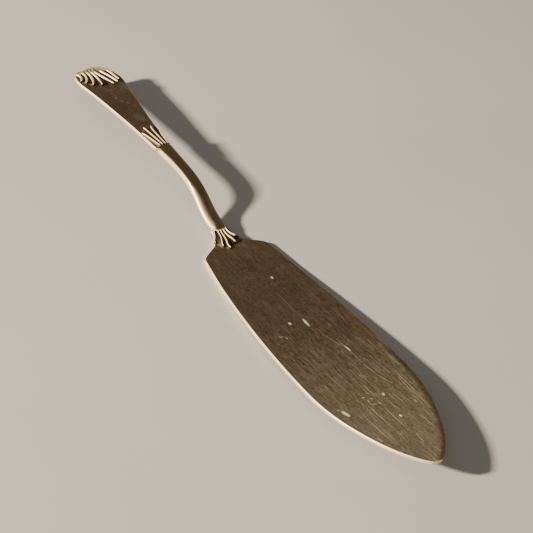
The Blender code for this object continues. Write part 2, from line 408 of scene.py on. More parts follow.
def bead_tree():
    """Geometry nodes that sweep a round bead along each chain of edges."""

    def fill(wiring, given):
        path = wiring.add("GeometryNodeMeshToCurve", {"Mesh": given["Geometry"]})
        profile = wiring.add("GeometryNodeCurvePrimitiveCircle",
                             {"Resolution": given["Sides"], "Radius": 1.0})
        radius = wiring.add("GeometryNodeInputNamedAttribute", {"Name": "bead_radius"},
                            data_type="FLOAT")
        scale = wiring.math("MULTIPLY", radius.outputs["Attribute"], given["Thickness"])
        sweep = wiring.add("GeometryNodeCurveToMesh",
                           {"Curve": path.outputs["Curve"], "Scale": scale,
                            "Profile Curve": profile.outputs["Curve"], "Fill Caps": True})
        smooth = wiring.add("GeometryNodeSetShadeSmooth", {"Geometry": sweep.outputs["Mesh"]})
        real = wiring.add("GeometryNodeRealizeInstances",
                          {"Geometry": smooth.outputs["Geometry"]})
        finish = wiring.add("GeometryNodeSetMaterial", {"Geometry": real.outputs["Geometry"],
                                                        "Material": given["Finish"]})
        return {"Geometry": finish.outputs["Geometry"]}

    inputs = {"Geometry": "Geometry", "Thickness": 1.0, "Sides": 16, "Finish": "Material"}
    return node_group("Swept Beads", inputs, {"Geometry": "Geometry"}, fill,
                      "GeometryNodeTree")


def swept_beads(name, paths, finish, thickness=1.0, sides=16):
    """Beads along paths: each is its points in metres and its radii, in thicknesses of a mm."""
    points = []
    radii = []
    edges = []
    for line, radius in paths:
        first = len(points)
        points += line.tolist()
        radii += list(np.broadcast_to(radius, len(line)) * MM)
        edges += [(first + i, first + i + 1) for i in range(len(line) - 1)]
    guide_mesh = bpy.data.meshes.new(name + "_guide")
    guide_mesh.from_pydata(points, edges, [])
    guide = new_object(name + "_guide", guide_mesh)
    give_attribute(guide, "bead_radius", radii)
    tree = bead_tree()
    modifier = guide.modifiers.new("beads", "NODES")
    modifier.node_group = tree
    values = {"Thickness": thickness, "Sides": sides, "Finish": finish}
    for item in tree.interface.items_tree:
        if item.in_out == "INPUT" and item.name in values:
            modifier[item.identifier] = values[item.name]
    graph = bpy.context.evaluated_depsgraph_get()
    made = bpy.data.meshes.new_from_object(guide.evaluated_get(graph))
    made.name = name
    guide.modifiers.remove(modifier)
    bpy.data.objects.remove(guide)
    return new_object(name, made)


def rib_radius(t, thin, start, end):
    """A rib's half thickness: fullest past the middle, round at both ends."""
    body = thin * (start + (1.0 - start) * smooth_step(t / 0.6))
    body = body * (1.0 - (1.0 - end) * smooth_step((t - 0.6) / 0.4))
    return body * np.maximum(quarter_round(t / 0.06) * quarter_round((1.0 - t) / 0.08), 0.1)


# ---- finishes, by nodes

# marks: S, y, half length, half width, degrees of turn
FLECKS = ((141.5, 0.9, 2.5, 0.5, -1.0), (159.0, 5.9, 1.9, 0.3, 5.0),
          (187.6, -13.8, 2.1, 0.75, 13.0), (139.8, -4.4, 0.8, 0.5, 0.0),
          (184.3, 3.1, 0.75, 0.5, 0.0), (195.8, 2.0, 0.75, 0.5, 0.0),
          (115.9, 3.7, 0.7, 0.45, 0.0))
STAINS = ((200.4, 6.9, 1.7, 0.7, 0.0), (200.6, -4.4, 1.0, 0.6, 20.0),
          (117.1, 11.4, 3.4, 1.9, 15.0), (150.0, 17.0, 12.0, 1.5, 8.0))
GRIP_CLOUDS = ((29.3, 0.9, 3.0, 1.6, 10.0), (8.4, 6.3, 3.6, 1.6, 10.0))
GRIP_STAINS = ((32.8, -1.6, 3.8, 1.9), (26.0, -3.2, 3.0, 1.2), (21.0, 3.2, 3.5, 1.6))
GRIP_SCUFFS = ((18.7, 0.1, 0.7, 0.5, 30.0), (16.4, -1.1, 0.7, 0.5, 30.0),
               (20.2, 1.6, 0.7, 0.5, 30.0))

# scratches on the blade: S, y, half length, degrees; and scuffs: S, y, degrees
SCRATCHES = ((171.1, 6.4, 4.0, 10.7), (177.8, 7.9, 3.2, 15.5), (182.0, 13.6, 9.4, 1.3),
             (190.9, 13.1, 6.6, 2.3), (180.7, -0.1, 4.4, -1.2), (196.0, -0.2, 8.2, 3.2),
             (192.7, -4.5, 6.9, 3.9), (197.7, -8.7, 8.6, 2.9), (190.0, 2.8, 3.2, 5.1),
             (207.9, 1.2, 3.6, -6.0), (161.3, 5.9, 8.9, 3.9), (131.0, 0.8, 8.4, 1.2),
             (152.5, 3.6, 5.7, 16.3), (183.0, 12.6, 7.0, -2.2))
SCRATCH_HALF = 0.09
SCUFFS = ((184.6, -1.8, 60.0), (187.6, -0.6, 20.0), (183.0, -4.0, 80.0),
          (185.2, -3.4, 0.0), (187.4, -2.4, 50.0), (181.6, -1.4, 30.0),
          (144.7, -11.0, 70.0), (146.0, -9.6, 10.0), (202.8, -11.4, 40.0),
          (204.0, -11.0, 70.0), (185.0, -15.0, 46.0), (191.5, 10.8, 0.0))
SCUFF_HALVES = (0.9, 0.18)

# scratches that run along the blade: degrees, frequency along and across, least value, share
LONG_SCRATCHES = ((3.5, 25.0, 5000.0, 0.65, 0.5), (4.0, 70.0, 6500.0, 0.6, 0.5),
                  (1.0, 110.0, 5500.0, 0.65, 0.35), (3.0, 300.0, 7000.0, 0.57, 0.35))
PALER_FROM_TO = (142.0, 208.0)  # S where the blade starts and stops turning paler towards the tip
STRONGER_FROM_TO = (118.0, 180.0)  # S where the scratches start and stop to strengthen
BUMP_DISTANCE = 0.00004


def tarnish_group():
    """Cloudy tarnish in patches, and a fine grain over it."""

    def fill(wiring, given):
        cloud = wiring.noise(given["Vector"], given["Patch Scale"], 4.0, 0.6, 0.4)
        grain = wiring.noise(given["Vector"], given["Grain Scale"], 2.0, 0.6)
        patches = wiring.ramp(cloud, 0.36, 0.66)
        mixed = wiring.math("MULTIPLY_ADD", grain, 0.5, 0.25)
        uneven = wiring.math("MULTIPLY_ADD", patches, 0.6, wiring.math("MULTIPLY", mixed, 0.4))
        return {"Cloud": uneven, "Grain": grain}

    inputs = {"Vector": ORIGIN, "Patch Scale": 90.0, "Grain Scale": 2500.0}
    return node_group("Tarnish", inputs, {"Cloud": "Float", "Grain": "Float"}, fill)


def scratch_group():
    """Fine scratches that run one way: their mask, from 0 to 1."""

    def fill(wiring, given):
        turned = wiring.add("ShaderNodeMapping", {"Vector": given["Vector"],
                                                  "Rotation": given["Turn"]})
        fine = wiring.vector("MULTIPLY", turned.outputs[0], given["Frequency"]).outputs[0]
        lines = wiring.noise(fine, 1.0, 1.0, 0.5, 0.1)
        high = wiring.math("ADD", given["Sparse"], 0.09)
        return {"Mask": wiring.ramp(lines, given["Sparse"], high)}

    inputs = {"Vector": ORIGIN, "Turn": ORIGIN, "Frequency": (60.0, 2500.0, 0.0),
              "Sparse": 0.62}
    return node_group("Fine Scratches", inputs, {"Mask": "Float"}, fill)


def spot_group():
    """One soft-edged oval spot, a little ragged: its mask, from 0 to 1."""

    def fill(wiring, given):
        apart = wiring.vector("SUBTRACT", given["Vector"], given["Centre"]).outputs[0]
        turned = wiring.add("ShaderNodeMapping", {"Vector": apart, "Rotation": given["Turn"]})
        share = wiring.vector("DIVIDE", turned.outputs[0], given["Size"]).outputs[0]
        length = wiring.vector("LENGTH", share).outputs["Value"]
        ragged = wiring.noise(given["Vector"], 1500.0, 2.0, 0.6)
        reach = wiring.math("MULTIPLY_ADD", ragged, 0.9, wiring.math("SUBTRACT", length, 0.45))
        return {"Mask": wiring.ramp(reach, 0.6, 1.1, 1.0, 0.0)}

    inputs = {"Vector": ORIGIN, "Centre": ORIGIN, "Size": (0.001, 0.001, 1.0),
              "Turn": ORIGIN}
    return node_group("Oval Spot", inputs, {"Mask": "Float"}, fill)


def colour(values):
    return (*values, 1.0)


class Silver:
    """A silver finish in the making: colour, roughness and relief that grow by layers."""

    def __init__(self, name, look, patch_scale, grain_scale):
        self.material = bpy.data.materials.new(name)
        self.material.use_nodes = True
        self.wiring = Wiring(self.material.node_tree)
        self.shader = self.material.node_tree.nodes["Principled BSDF"]
        place = self.wiring.add("ShaderNodeTexCoord")
        self.vector = place.outputs["Object"]
        tarnish = self.wiring.group(tarnish_group(), {
            "Vector": self.vector, "Patch Scale": patch_scale, "Grain Scale": grain_scale})
        self.grain = tarnish.outputs["Grain"]
        self.base = self.wiring.mix(tarnish.outputs["Cloud"], colour(look.tarnish_dark),
                                    colour(look.tarnish_light))
        self.rough = self.wiring.ramp(tarnish.outputs["Cloud"], 0.0, 1.0,
                                      look.roughness + 0.05, look.roughness - 0.05)
        self.height = self.wiring.math("MULTIPLY", self.grain, look.grain_depth)
        self.metal = 1.0
        self.look = look

    def tint(self, mask, values, strength=1.0):
        """Mixes a colour in where the mask says."""
        share = self.wiring.math("MULTIPLY", mask, strength)
        self.base = self.wiring.mix(share, self.base, colour(values))

    def soil(self, mask, strength):
        """Dark dirt, dull to the touch."""
        self.tint(mask, self.look.hollow, strength)
        self.roughen(mask, 0.65)

    def roughen(self, mask, value):
        self.rough = self.wiring.blend(mask, self.rough, value)

    def dull(self, mask, value):
        """Lowers the metallic share, for places that scatter light to every side."""
        self.metal = self.wiring.blend(mask, self.metal, value)

    def bare_and_highlight(self, mask):
        """Rubbed metal: pale, soft and bright; on the edges that face the key light it is also
        painted highlight.
        """
        self.tint(mask, self.look.worn_and_highlight)
        self.roughen(mask, 0.5)
        self.dull(mask, self.look.bare_metal)

    def carve(self, mask, depth):
        self.height = self.wiring.math("MULTIPLY_ADD", mask, -depth, self.height)

    def attribute(self, name):
        node = self.wiring.add("ShaderNodeAttribute", attribute_name=name)
        return node.outputs["Fac"]

    def patches(self, scale, detail, roughness, low, high, warp=0.0):
        """The mask of ragged patches."""
        cloud = self.wiring.noise(self.vector, scale, detail, roughness, warp)
        return self.wiring.ramp(cloud, low, high)

    def spot(self, s, y, long, wide, degrees=0.0):
        """The mask of a spot: half lengths in millimetres, turned on the surface."""
        values = {"Vector": self.vector, "Centre": ((s - S_MIDDLE) * MM, y * MM, 0.0),
                  "Size": (long * MM, wide * MM, 1.0),
                  "Turn": (0.0, 0.0, -math.radians(degrees))}
        return self.wiring.group(spot_group(), values).outputs["Mask"]

    def strongest(self, masks, share=1.0, so_far=0.0):
        """The strongest of the masks, each weakened to a share, and of one so far."""
        for mask in masks:
            weakened = self.wiring.math("MULTIPLY", mask, share)
            so_far = self.wiring.math("MAXIMUM", so_far, weakened)
        return so_far

    def scratches(self, degrees, along, across, sparse):
        values = {"Vector": self.vector, "Turn": (0.0, 0.0, -math.radians(degrees)),
                  "Frequency": (along, across, 0.0), "Sparse": sparse}
        return self.wiring.group(scratch_group(), values).outputs["Mask"]

    def done(self):
        values = {"Height": self.height, "Distance": BUMP_DISTANCE, "Strength": 0.5}
        bump = self.wiring.add("ShaderNodeBump", values)
        for label, value in (("Base Color", self.base), ("Roughness", self.rough),
                             ("Metallic", self.metal), ("Normal", bump.outputs["Normal"])):
            self.wiring.feed(self.shader.inputs[label], value)
        return self.material


def blade_finish(look):
    """Dark polished sheet: long and short scratches, flecks, stains and a rubbed edge, painted
    as highlight on its lit side.
    """
    silver = Silver("blade tarnished sheet", look, 60.0, 2200.0)
    wiring = silver.wiring
    split = wiring.add("ShaderNodeSeparateXYZ", {0: silver.vector})

    def tipward(start, stop, *shares):
        return wiring.ramp(split.outputs["X"], (start - S_MIDDLE) * MM,
                           (stop - S_MIDDLE) * MM, *shares)

    shade = silver.attribute("shade")
    silver.tint(tipward(*PALER_FROM_TO), look.tip_light, 0.72)
    silver.tint(shade, look.tarnish_dark, 0.85)
    silver.tint(silver.patches(300.0, 4.0, 0.7, 0.48, 0.75, 0.3), look.speck, 0.22)
    silver.tint(silver.patches(1500.0, 3.0, 0.75, 0.5, 0.72), look.speck, 0.36)
    silver.tint(silver.patches(1150.0, 3.0, 0.75, 0.5, 0.3), look.hollow, 0.6)
    lines = 0.0
    for *run, share in LONG_SCRATCHES:
        lines = silver.strongest([silver.scratches(*run)], share, lines)
    cuts = [silver.spot(s, y, half, SCRATCH_HALF, turn) for s, y, half, turn in SCRATCHES]
    lines = silver.strongest(cuts, 0.75, lines)
    lines = wiring.math("MULTIPLY", lines, tipward(*STRONGER_FROM_TO, 0.35, 1.0))
    lines = wiring.math("MULTIPLY", lines, wiring.ramp(shade, 0.2, 1.0, 1.0, 0.2))
    scuffs = [silver.spot(s, y, *SCUFF_HALVES, turn) for s, y, turn in SCUFFS]
    lines = silver.strongest(scuffs, 0.7, lines)
    lines = wiring.math("MULTIPLY", lines, look.scratch_strength, clamp=True)
    silver.tint(lines, look.scratch)
    silver.roughen(lines, 0.5)
    silver.dull(lines, look.bare_metal)
    silver.carve(lines, 0.25)
    flecks = silver.strongest([silver.spot(*row) for row in FLECKS])
    silver.tint(flecks, look.fleck, 0.85)
    silver.roughen(flecks, 0.6)
    silver.dull(flecks, look.bare_metal)
    for row in STAINS:
        silver.tint(silver.spot(*row), look.stain, 0.3)
    silver.soil(silver.spot(93.5, 0.0, 6.0, 7.0), 0.5)
    # Pale rubbed edge, partly painted highlight on the side towards the key light.
    silver.bare_and_highlight(silver.attribute("rim"))
    return silver.done()


def grip_finish(look):
    """Mottled plate: grey patches, a cool cloud, golden stains and a rubbed edge, painted as
    highlight on its lit side.
    """
    silver = Silver("grip mottled plate", look, 150.0, 2200.0)
    lines = silver.scratches(4.0, 110.0, 3600.0, 0.62)
    silver.tint(lines, look.scratch, 0.2 * look.scratch_strength)
    silver.tint(silver.patches(420.0, 4.0, 0.7, 0.5, 0.75, 0.3), look.speck, 0.35)
    silver.tint(silver.patches(1500.0, 2.0, 0.7, 0.5, 0.8), look.tip_light, 0.4)
    silver.carve(lines, 0.4)
    for rows, tone, strength in ((GRIP_CLOUDS, look.cool_cloud, 0.32),
                                 (GRIP_STAINS, look.stain, 0.22)):
        for row in rows:
            silver.tint(silver.spot(*row), tone, strength)
    silver.soil(silver.spot(3.5, 0.0, 7.0, 12.0), 0.5)
    silver.soil(silver.spot(38.5, 0.0, 5.0, 6.0), 0.5)
    for row in GRIP_SCUFFS:
        silver.tint(silver.spot(*row), look.scratch, 0.35)
    # Pale rubbed edge, partly painted highlight on the side towards the key light.
    silver.bare_and_highlight(silver.attribute("rim"))
    return silver.done()


def stem_finish(look):
    """Rubbed bar: lengthwise scratches, a pale side that is painted highlight, widest at the
    bend, one copper nick.
    """
    silver = Silver("stem rubbed bar", look, 130.0, 2200.0)
    silver.rough = silver.wiring.math("SUBTRACT", silver.rough, 0.08)
    lines = silver.scratches(0.0, 90.0, 3600.0, 0.6)
    silver.tint(lines, look.scratch, 0.25 * look.scratch_strength)
    silver.carve(lines, 0.4)
    # Painted highlight: the pale band down the lit side of the bar.
    silver.bare_and_highlight(silver.attribute("rim"))
    silver.tint(silver.spot(70.2, -1.8, 0.9, 0.45, 20.0), look.stain, 0.9)
    return silver.done()


def casting_finish(look):
    """Cast ground: grey, black in the hollows, rubbed pale where it stands up."""
    silver = Silver("casting dark ground", look, 260.0, 2600.0)
    silver.tint(1.0, look.cast_ground, 0.8)
    silver.tint(silver.attribute("hollow"), look.hollow, 0.92)
    silver.roughen(1.0, 0.6)
    silver.bare_and_highlight(silver.attribute("rim"))
    return silver.done()


def rib_finish(look):
    """Rubbed ribs: pale silver with a little tarnish left here and there."""
    silver = Silver("ribs rubbed bright", look, 420.0, 3000.0)
    cloud = silver.wiring.noise(silver.vector, 700.0, 3.0, 0.6)
    silver.bare_and_highlight(silver.wiring.ramp(cloud, 0.3, 0.62, 0.75, 1.0))
    return silver.done()


def solder_finish(look):
    """Dull grey solder along the castings' edges."""
    silver = Silver("solder dull", look, 500.0, 3000.0)
    silver.tint(1.0, look.cast_ground, 0.8)
    silver.tint(silver.wiring.ramp(silver.grain, 0.3, 0.7), look.hollow, 0.5)
    silver.roughen(1.0, 0.6)
    silver.dull(1.0, look.bare_metal)
    return silver.done()


def once(name, make, look):
    """A finish made the first time that it is asked for."""
    return bpy.data.materials.get(name) or make(look)


# ---- settings


def swatch(label, text, default):
    return bpy.props.FloatVectorProperty(name=label, description=text, default=default,
                                         subtype="COLOR", size=3, min=0.0, max=1.0)


def length(label, text, default):
    """A length in metres, given here in millimetres."""
    return bpy.props.FloatProperty(name=label, description=text, default=default * MM,
                                   unit="LENGTH", subtype="DISTANCE", min=0.0, precision=5)


def number(label, text, default, low=0.0, **more):
    return bpy.props.FloatProperty(name=label, description=text, default=default, min=low,
                                   **more)


def whole(label, text, default, low, high):
    return bpy.props.IntProperty(name=label, description=text, default=default, min=low,
                                 max=high)


class SERVER_PG_finish(bpy.types.PropertyGroup):
    """Colours and wear of the silver."""

    tarnish_dark: swatch("Dark Tarnish", "Silver under thick tarnish", (0.19, 0.125, 0.056))
    tarnish_light: swatch("Light Tarnish", "Silver under thin tarnish", (0.295, 0.21, 0.105))
    tip_light: swatch("Tip", "The blade's paler tarnish towards the tip", (0.60, 0.49, 0.32))
    scratch: swatch("Scratches", "Fresh metal in the scratches", (0.95, 0.84, 0.58))
    fleck: swatch("Flecks", "Pale specks on the blade", (0.74, 0.88, 0.52))
    stain: swatch("Stains", "Golden brown stains", (0.46, 0.17, 0.05))
    cool_cloud: swatch("Cool Cloud", "Bluish cloud on the grip", (0.42, 0.46, 0.42))
    hollow: swatch("Hollows", "Black in the hollows of the castings", (0.05, 0.035, 0.02))
    # Pale rubbed metal on ribs and edges, also the colour of the painted highlight on the lit
    # edges of blade, grip and stem.
    worn_and_highlight: swatch("Worn Metal", "Bare metal on edges and ribs", (1.0, 0.83, 0.5))
    speck: swatch("Specks", "Grey specks all over the sheet", (0.60, 0.52, 0.36))
    cast_ground: swatch("Casting Ground", "Grey of the castings' ground", (0.07, 0.063, 0.05))
    bare_metal: number("Bare Metallic", "Metallic share of rubbed metal", 0.5, max=1.0)
    roughness: number("Roughness", "Roughness of the tarnished sheet", 0.36, max=1.0)
    grain_depth: number("Grain", "Depth of the fine grain", 0.35, max=2.0)
    scratch_strength: number("Scratch Strength", "How much the scratches show", 0.95, max=2.0)


class SERVER_PG_blade(bpy.types.PropertyGroup):
    """Sizes of the blade."""

    thickness: length("Thickness", "Thickness of the sheet", 1.3)
    half_width: length("Half Width", "Half the width at the belly", BLADE_HIGH.y / MM)
    tip_rise: length("Tip Rise", "How far the tip's middle stands over the heel's",
                     BLADE_HIGH.z / MM - 1.3)
    edge_round: length("Edge Rounding", "Radius of the rubbed edges", 0.42)
    across: whole("Columns", "Columns of faces across the blade", 28, 4, 80)


class SERVER_PG_handle(bpy.types.PropertyGroup):
    """Sizes of the grip and the stem."""

    grip_thickness: length("Grip Thickness", "Thickness of the grip's plate", 1.8)
    squareness: number("Edge Squareness", "How square the grip's edges are", 5.0,
                       low=2.0, max=12.0)
    steps: whole("Steps Round", "Faces round the bar", 56, 12, 96)


class SERVER_PG_shell(bpy.types.PropertyGroup):
    """Sizes of the shell casting."""

    ribs: whole("Ribs", "Ribs on the shell, an odd number", 7, 3, 7)
    rib: length("Rib Radius", "Radius of a rib", 0.41)
    rim: length("Rim Radius", "Radius of the rolled rim", 0.72)
    flute: length("Flute Depth", "Depth of the hollows between ribs", 0.55)


class SERVER_PG_fan(bpy.types.PropertyGroup):
    """Sizes of the two fan castings."""

    grip_ribs: whole("Ribs on the Grip", "Ribs of the fan on the grip", 4, 2, 9)
    rib: length("Rib Radius", "Radius of a rib", 0.24)
    solder: length("Solder Radius", "Radius of the solder along the edges", 0.12)


class SERVER_PG_studio(bpy.types.PropertyGroup):
    """Floor, lights and camera."""

    floor: swatch("Floor", "Colour of the floor", (0.52, 0.505, 0.48))
    key_power: number("Key Power", "Power of the low key light", 75.0, unit="POWER")
    key_size: length("Key Size", "Side of the key light", 110.0)
    room: number("Room Light", "Strength of the light all round", 0.23)
    lens: number("Lens", "Focal length", 212.62, low=1.0, unit="CAMERA")
    distance: length("Distance", "From the camera to the point it looks at", 1059.7)


class SERVER_PG_all(bpy.types.PropertyGroup):
    """Everything that can be set on the server."""

    finish: bpy.props.PointerProperty(type=SERVER_PG_finish)
    blade: bpy.props.PointerProperty(type=SERVER_PG_blade)
    handle: bpy.props.PointerProperty(type=SERVER_PG_handle)
    shell: bpy.props.PointerProperty(type=SERVER_PG_shell)
    fan: bpy.props.PointerProperty(type=SERVER_PG_fan)
    studio: bpy.props.PointerProperty(type=SERVER_PG_studio)


# ---- blade


def blade_half(s, belly):
    """Half the blade's width: root, notch, shoulder, belly, rounded tip."""
    last, shoulder = ROOT_OUTLINE[-1]
    t = (BELLY_S - s) / (BELLY_S - last)
    side = belly - (belly - shoulder) * t * t
    t = np.clip((s - BELLY_S) / (S_TIP + TIP_OVERSHOOT - BELLY_S), 0.0, 1.0)
    ogive = belly * (1.0 - t ** TIP_POWER) ** TIP_NARROWING
    nose = np.sqrt(2.0 * TIP_NOSE_R * (S_TIP + 0.02 - s))
    rounded = (ogive ** -8.0 + nose ** -8.0) ** -0.125
    tip = ogive + smooth_step((s - BELLY_S - 10.0) / 20.0) * (rounded - ogive)
    return np.where(s <= last, root_outline(s), np.where(s <= BELLY_S, side, tip))


def blade_middle(s, sizes):
    """Height of the middle of the sheet: flat at the heel, then curving up."""
    t = np.clip(s - HEEL_FLAT_S, 0.0, None) / (S_TIP - HEEL_FLAT_S)
    return (0.5 * sizes.thickness + sizes.tip_rise * t ** RISE_POWER) / MM


def blade_rings(sizes):
    """Rings across the sheet, with rounded edges; the rubbing on them, with painted highlight
    on the edge that faces the key light; the dark far edge.
    """
    root = np.linspace(ROOT_OUTLINE[0][0], ROOT_OUTLINE[-1][0], 60)
    side = np.linspace(ROOT_OUTLINE[-1][0] + 1.0, BELLY_S, 90)
    tip = BELLY_S + (S_TIP - BELLY_S) * np.sin(0.5 * np.pi * np.linspace(0.02, 1.0, 90))
    up = 0.5 * sizes.thickness / MM
    corner = np.linspace(0.0, 0.5 * np.pi, 7)
    rings = []
    edge_wear_and_highlight = []
    shade = []
    for s in np.concatenate([root, side, tip]):
        half = float(blade_half(s, sizes.half_width / MM))
        soft = min(sizes.edge_round / MM, 0.6 * half, 0.95 * up)
        flat = half - soft
        inner = flat * np.sin(np.linspace(-0.5, 0.5, sizes.across + 1) * np.pi)[1:-1]
        corner_y = flat + soft * np.sin(corner)
        corner_z = up - soft + soft * np.cos(corner)
        y = np.concatenate([inner, corner_y, corner_y[::-1],
                            -inner, -corner_y, -corner_y[::-1]])
        z = np.concatenate([0 * inner + up, corner_z, -corner_z[::-1],
                            0 * inner - up, -corner_z, corner_z[::-1]])
        rings.append(at(s, y, blade_middle(s, sizes) + z))
        # Painted highlight: the edge towards the key light (-y) gets the full pale rubbed
        # colour, the far edge only a little.
        side = np.where(y < 0.0, 1.0, 0.15)
        worn_and_highlight = smooth_step((np.abs(y) - flat + 0.05) / 0.25) * side * (s > 90.0)
        edge_wear_and_highlight.append(np.maximum(worn_and_highlight, 0.6 * smooth_step((s - S_TIP + 0.3) / 0.3)))
        shade.append(smooth_step((y - half + 3.4) / 2.6) * smooth_step((s - 150.0) / 25.0))
    return np.array(rings), np.array(edge_wear_and_highlight), np.array(shade)


class SERVER_OT_blade(bpy.types.Operator):
    """Add the blade: thin sheet with notches, shoulders and a rounded tip"""

    bl_idname = "cake_server.add_blade"
    bl_label = "Add Blade"

    def execute(self, context):
        settings = context.scene.cake_server
        rings, edge_wear_and_highlight, shade = blade_rings(settings.blade)
        # The rim mark is rubbing plus painted highlight on the lit edge.
        marks = {"rim": (edge_wear_and_highlight, (0.0, 1.0)), "shade": (shade, (0.0, 0.0))}
        finish = once("blade tarnished sheet", blade_finish, settings.finish)
        add_skin("blade_sheet", rings, marks, finish, "blade")
        return {"FINISHED"}


# ---- grip and stem


def spine_slope(s):
    return math.atan(float(spine(s + 0.5) - spine(s - 0.5)))


def grip_rings(sizes):
    """Rings along the plate, its two ends rounded over."""
    inner = np.linspace(GRIP_START_S, GRIP_STOP_S, 110)
    ease = np.array([0.0, 0.06, 0.2, GRIP_END_ROUND])
    stations = np.concatenate([GRIP_START_S + ease, inner[2:-2], GRIP_STOP_S - ease[::-1]])
    half_thick = 0.5 * sizes.grip_thickness / MM
    rings = []
    for s in stations:
        from_end = min(s - GRIP_START_S, GRIP_STOP_S - s)
        soft = quarter_round(from_end / GRIP_END_ROUND)
        half = float(grip_half(s)) - 0.4 * (1.0 - soft)
        rings.append(oval_ring(s, 0.0, 0.0, half, half_thick * (0.7 + 0.3 * soft),
                               sizes.squareness, 96))
    return np.array(rings)


def ring_wear_and_highlight(rings, low, high):
    """Rubbing by how far out to the side a point of a ring stands, from 0 to 1: full on the
    side towards the key light as painted highlight, weak on the far side.
    """
    middle = rings.mean(axis=1, keepdims=True)
    out = rings[:, :, 1] - middle[:, :, 1]
    share = np.abs(out) / np.abs(out).max(axis=1, keepdims=True)
    return smooth_step((share - low) / (high - low)) * np.where(out < 0.0, 1.0, 0.2)


class SERVER_OT_grip(bpy.types.Operator):
    """Add the grip: flat plate that narrows to the stem"""

    bl_idname = "cake_server.add_grip"
    bl_label = "Add Grip"

    def execute(self, context):
        settings = context.scene.cake_server
        rings = grip_rings(settings.handle)
        # Painted highlight and rubbing along the grip's lit edge.
        marks = {"rim": (ring_wear_and_highlight(rings, 0.955, 0.985), (0.0, 0.0))}
        finish = once("grip mottled plate", grip_finish, settings.finish)
        add_skin("grip_plate", rings, marks, finish, "grip")
        return {"FINISHED"}


def stem_rings(handle, blade):
    """Tongue under the grip, round bar bending down, flat foot on the blade."""
    steps = handle.steps
    grip = handle.grip_thickness / MM
    start, half, thick = TONGUE
    drop = 0.5 * (grip + thick) + JOINT_GAP
    rings = []
    for s, share in ((start, 0.8), (start + 0.25, 0.95), (start + 0.6, 1.0), (43.0, 1.0),
                     (STEM_START_S - 0.25, 1.0)):
        rings.append(oval_ring(s, drop, 0.0, half * share, 0.5 * thick * share,
                               LAP_SQUARENESS, steps))
    for ahead, share in ((0.0, 0.5), (0.03, 0.72), (0.12, 0.86), (0.3, 0.95), (0.6, 1.0)):
        s = STEM_START_S + ahead
        bow = STEM_START_BOW * (1.0 - ahead)
        rings.append(oval_ring(s, 0.0, 0.0, stem_half(s) * (0.75 + 0.25 * share),
                               stem_rise(s) * share, 2.6, steps, bow))
    for s in np.linspace(49.5, STEM_STOP_S - 0.9, 90):
        bow = STEM_START_BOW * max(0.0, 1.0 - (s - STEM_START_S) / 4.0)
        bow = bow - STEM_STOP_BOW * smooth_step((s - 82.0) / 6.0)
        rings.append(oval_ring(s, 0.0, spine_slope(s), stem_half(s), stem_rise(s),
                               BAR_SQUARENESS, steps, bow))
    for back, share in ((0.55, 0.96), (0.25, 0.85), (0.08, 0.7), (0.0, 0.5)):
        s = STEM_STOP_S - back
        rings.append(oval_ring(s, 0.0, 0.0, stem_half(s) * (0.5 + 0.5 * share),
                               stem_rise(s) * share, BAR_SQUARENESS, steps,
                               -STEM_STOP_BOW))
    stop, half, thick = FOOT
    for s, share in ((STEM_STOP_S + 0.3, 1.0), (90.0, 1.0), (stop - 0.3, 1.0), (stop, 0.85)):
        drop = float(spine(s)) - blade.thickness / MM - JOINT_GAP - 0.5 * thick
        rings.append(oval_ring(s, drop, 0.0, half * share, 0.5 * thick, LAP_SQUARENESS,
                               steps))
    return np.array(rings)


class SERVER_OT_stem(bpy.types.Operator):
    """Add the stem: oval bar from under the grip down to the blade"""

    bl_idname = "cake_server.add_stem"
    bl_label = "Add Stem"

    def execute(self, context):
        settings = context.scene.cake_server
        rings = stem_rings(settings.handle, settings.blade)
        s = rings[:, :1, 0] / MM + S_MIDDLE
        # Painted highlight: the pale band on the lit side widens where the bar bends down, as
        # the key light's highlight would.
        bend = smooth_step((s - 66.0) / 10.0) * (1.0 - smooth_step((s - 84.0) / 4.0))
        marks = {"rim": (ring_wear_and_highlight(rings, 0.7 - 0.6 * bend, 1.05), (0.0, 0.0))}
        finish = once("stem rubbed bar", stem_finish, settings.finish)
        add_skin("stem_bar", rings, marks, finish, "stem")
        return {"FINISHED"}


# ---- castings


def ridge(k):
    """1 on each rib and 0 midway between two: ribs stand at whole k."""
    return np.cos(np.pi * k) ** 2


def cast_grid(columns, rows):
    """u runs from -1 to 1 across a casting, v from 0 to 1 along its ribs."""
    return np.meshgrid(np.linspace(-1.0, 1.0, columns + 1), np.linspace(0.0, 1.0, rows + 1),
                       indexing="ij")


def scalloped(s, crest, depth, v=1.0, start=0.55):
    """Draws the far border of a casting in between its ribs."""
    return s - depth * (1.0 - crest) * smooth_step((v - start) / (1.0 - start))


def softened(height, base, u, v, across, along, radius=0.35):
    """A casting's height, falling to the base at its borders as a quarter round does."""
    near = np.minimum((1.0 - np.abs(u)) * across, (1.0 - v) * along)
    return base + (height - base) * quarter_round(near / radius)


def add_casting(kind, node, upper, lower, hollow, rim, look):
    """Makes a casting's body and gives it its dark and its rubbed places."""
    piece = slab(kind + "_casting", upper, lower)
    below = np.full(hollow.size, 0.4)
    give_attribute(piece, "hollow", np.concatenate([hollow.ravel(), below]))
    give_attribute(piece, "rim", np.concatenate([rim.ravel(), 0.0 * below]))
    piece.data.materials.append(once("casting dark ground", casting_finish, look))
    dress(piece, node)


def add_ribs(kind, paths, look):
    """Sweeps the ribs of one casting and dresses them as one piece."""
    ribs = swept_beads(kind + "_ribs", paths, once("ribs rubbed bright", rib_finish, look))
    dress(ribs)


